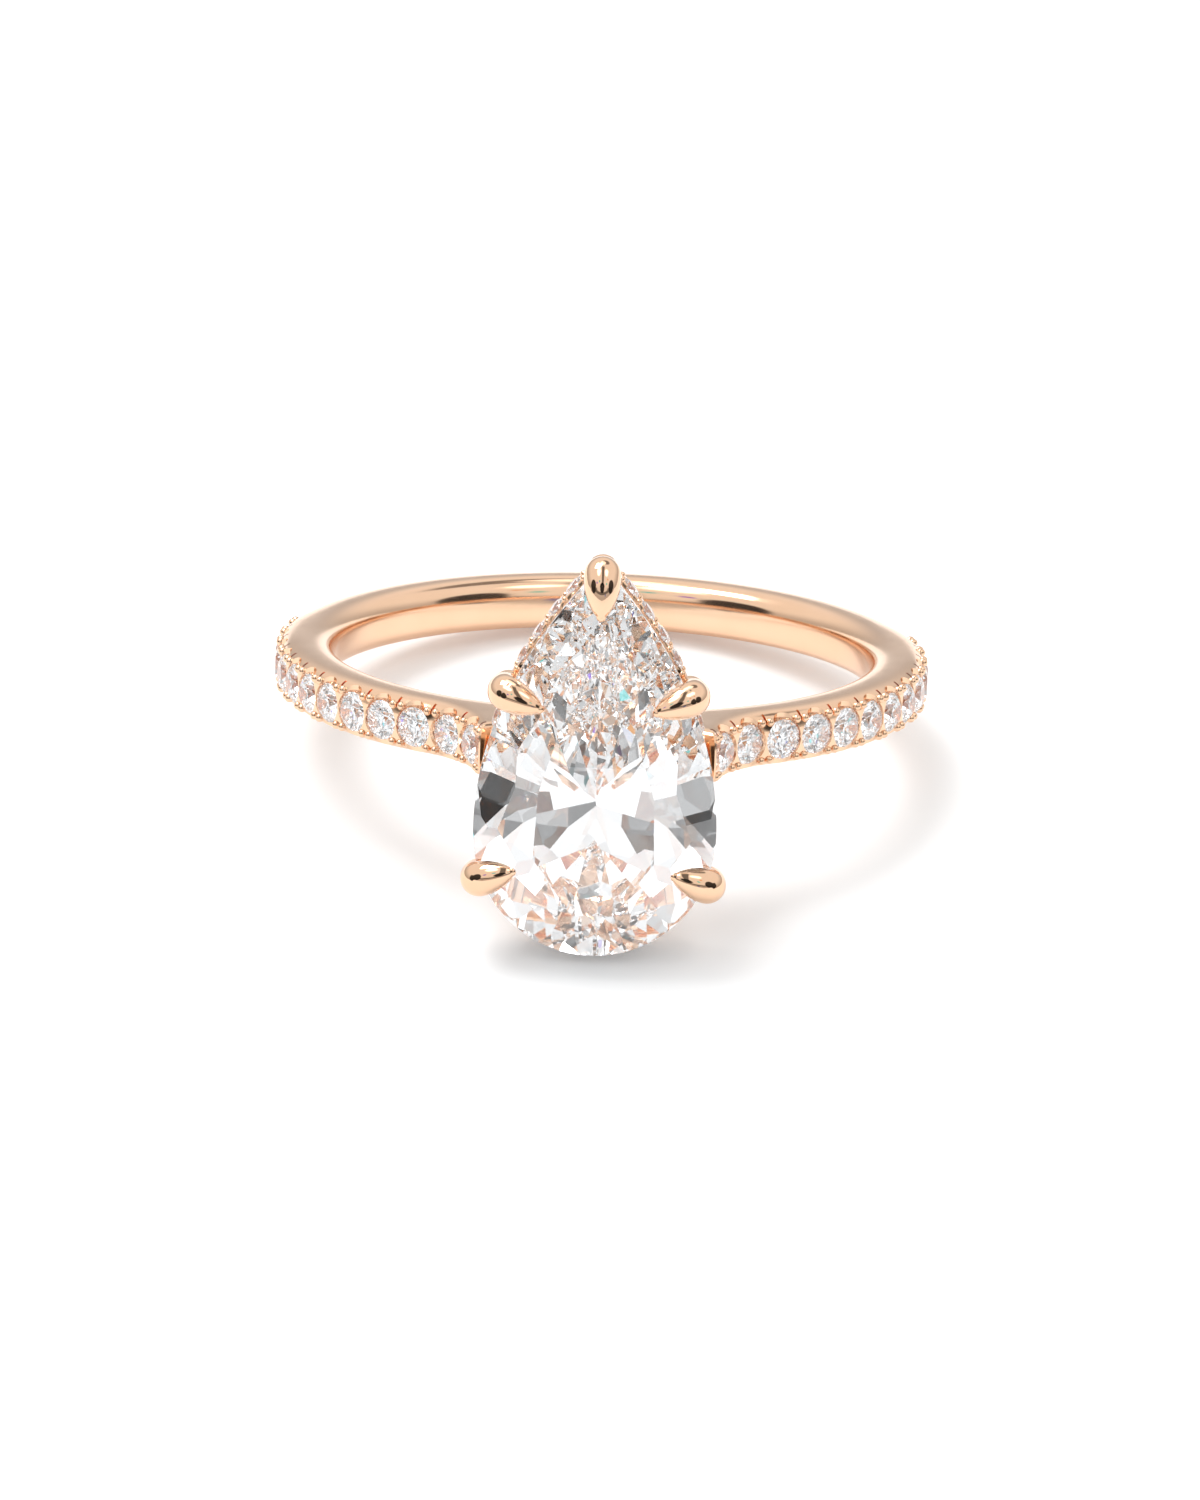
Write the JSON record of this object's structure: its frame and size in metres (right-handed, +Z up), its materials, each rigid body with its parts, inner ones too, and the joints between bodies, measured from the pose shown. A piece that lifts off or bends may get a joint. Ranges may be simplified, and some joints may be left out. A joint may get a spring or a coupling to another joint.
{
  "type": "engagement ring",
  "caption": "Rose gold engagement ring with a claw-set pear-cut stone, a hidden stone row under it and stone-set shoulders.",
  "frame": {"origin": "centre of the finger hole, on its axis, midway across the band", "axes": "+Z is straight up from the table the ring lies on; -Y points towards the head and +Y towards the back of the band; +X is to the right. The finger axis leans back from +Z towards +Y by 12.83 degrees, because the round end of the head and the back of the band both touch the table."},
  "size_m": [0.0202, 0.0241, 0.012],
  "materials": {
    "band_metal": "mirror-polished 14k rose gold",
    "head_metal": "mirror-polished 14k rose gold",
    "centre_stone": "faceted colourless diamond",
    "small_stones": "faceted colourless diamond melee"
  },
  "bodies": {
    "root": {"shank": "band_metal", "base_rail": "head_metal", "halo_rail": "head_metal", "claw_tip": "head_metal", "claw_upper_left": "head_metal", "claw_upper_right": "head_metal", "claw_lower_left": "head_metal", "claw_lower_right": "head_metal", "centre_stone": "centre_stone", "shoulder_stone_left_01": "small_stones", "shoulder_stone_left_02": "small_stones", "shoulder_stone_left_03": "small_stones", "shoulder_stone_left_04": "small_stones", "shoulder_stone_left_05": "small_stones", "shoulder_stone_left_06": "small_stones", "shoulder_stone_left_07": "small_stones", "shoulder_stone_left_08": "small_stones", "shoulder_stone_left_09": "small_stones", "shoulder_stone_left_10": "small_stones", "shoulder_stone_left_11": "small_stones", "shoulder_stone_left_12": "small_stones", "shoulder_stone_right_01": "small_stones", "shoulder_stone_right_02": "small_stones", "shoulder_stone_right_03": "small_stones", "shoulder_stone_right_04": "small_stones", "shoulder_stone_right_05": "small_stones", "shoulder_stone_right_06": "small_stones", "shoulder_stone_right_07": "small_stones", "shoulder_stone_right_08": "small_stones", "shoulder_stone_right_09": "small_stones", "shoulder_stone_right_10": "small_stones", "shoulder_stone_right_11": "small_stones", "shoulder_stone_right_12": "small_stones", "halo_stone_left_01": "small_stones", "halo_stone_left_02": "small_stones", "halo_stone_left_03": "small_stones", "halo_stone_left_04": "small_stones", "halo_stone_left_05": "small_stones", "halo_stone_left_06": "small_stones", "halo_stone_left_07": "small_stones", "halo_stone_left_08": "small_stones", "halo_stone_left_09": "small_stones", "halo_stone_left_10": "small_stones", "halo_stone_left_11": "small_stones", "halo_stone_right_01": "small_stones", "halo_stone_right_02": "small_stones", "halo_stone_right_03": "small_stones", "halo_stone_right_04": "small_stones", "halo_stone_right_05": "small_stones", "halo_stone_right_06": "small_stones", "halo_stone_right_07": "small_stones", "halo_stone_right_08": "small_stones", "halo_stone_right_09": "small_stones", "halo_stone_right_10": "small_stones", "halo_stone_right_11": "small_stones"}
  },
  "joints": []
}
